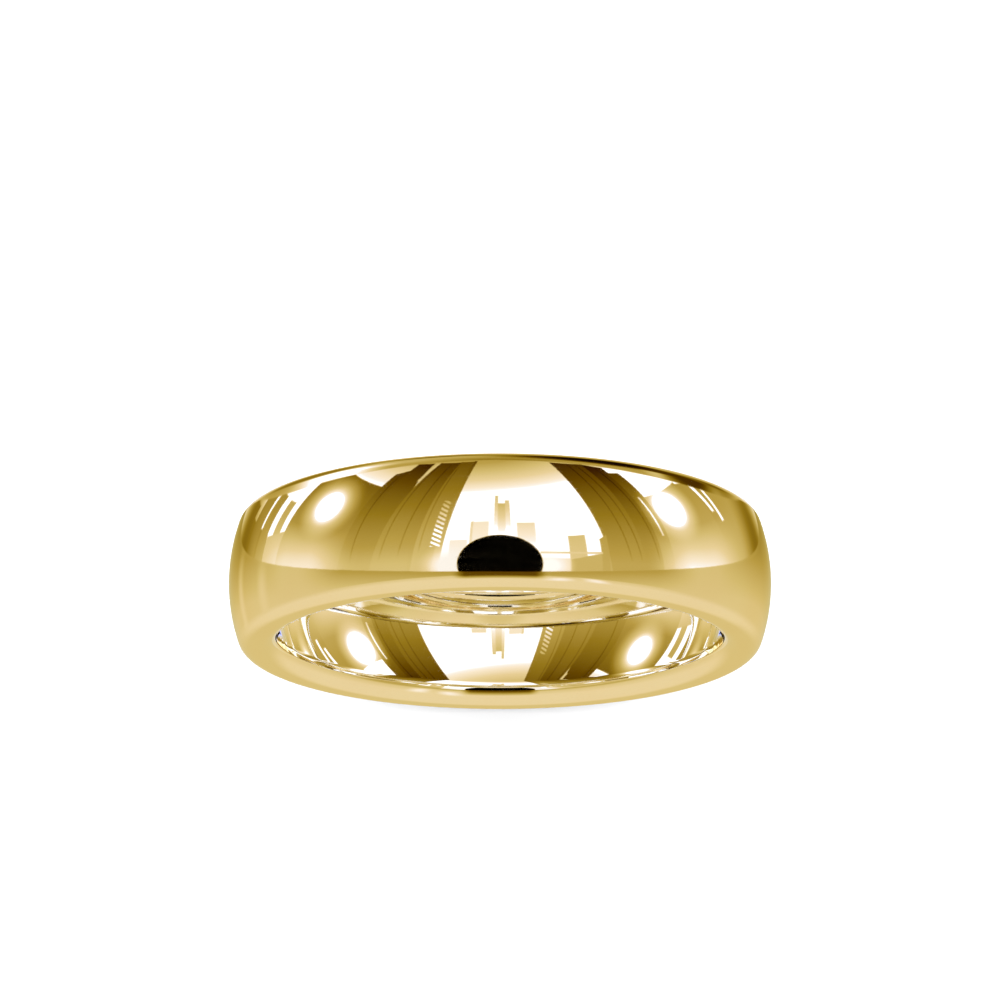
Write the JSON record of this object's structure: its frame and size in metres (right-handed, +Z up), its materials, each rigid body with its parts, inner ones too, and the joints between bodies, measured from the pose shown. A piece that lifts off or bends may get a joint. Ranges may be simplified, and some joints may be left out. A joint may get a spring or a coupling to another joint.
{
  "type": "wedding band",
  "caption": "Plain court-shaped wedding band: domed outer face, flat polished sides with rounded edges and a finger hole slightly hollow across its width.",
  "frame": {"origin": "centre of the finger hole, midway across the band's width", "axes": "+Y along the finger axis, +Z up as the band stands on its rim, +X to the side; the band is the same after any turn about Y"},
  "size_m": [0.02, 0.005, 0.02],
  "materials": {
    "gold": "mirror polished yellow gold"
  },
  "bodies": {
    "root": {"band": "gold"}
  },
  "joints": []
}
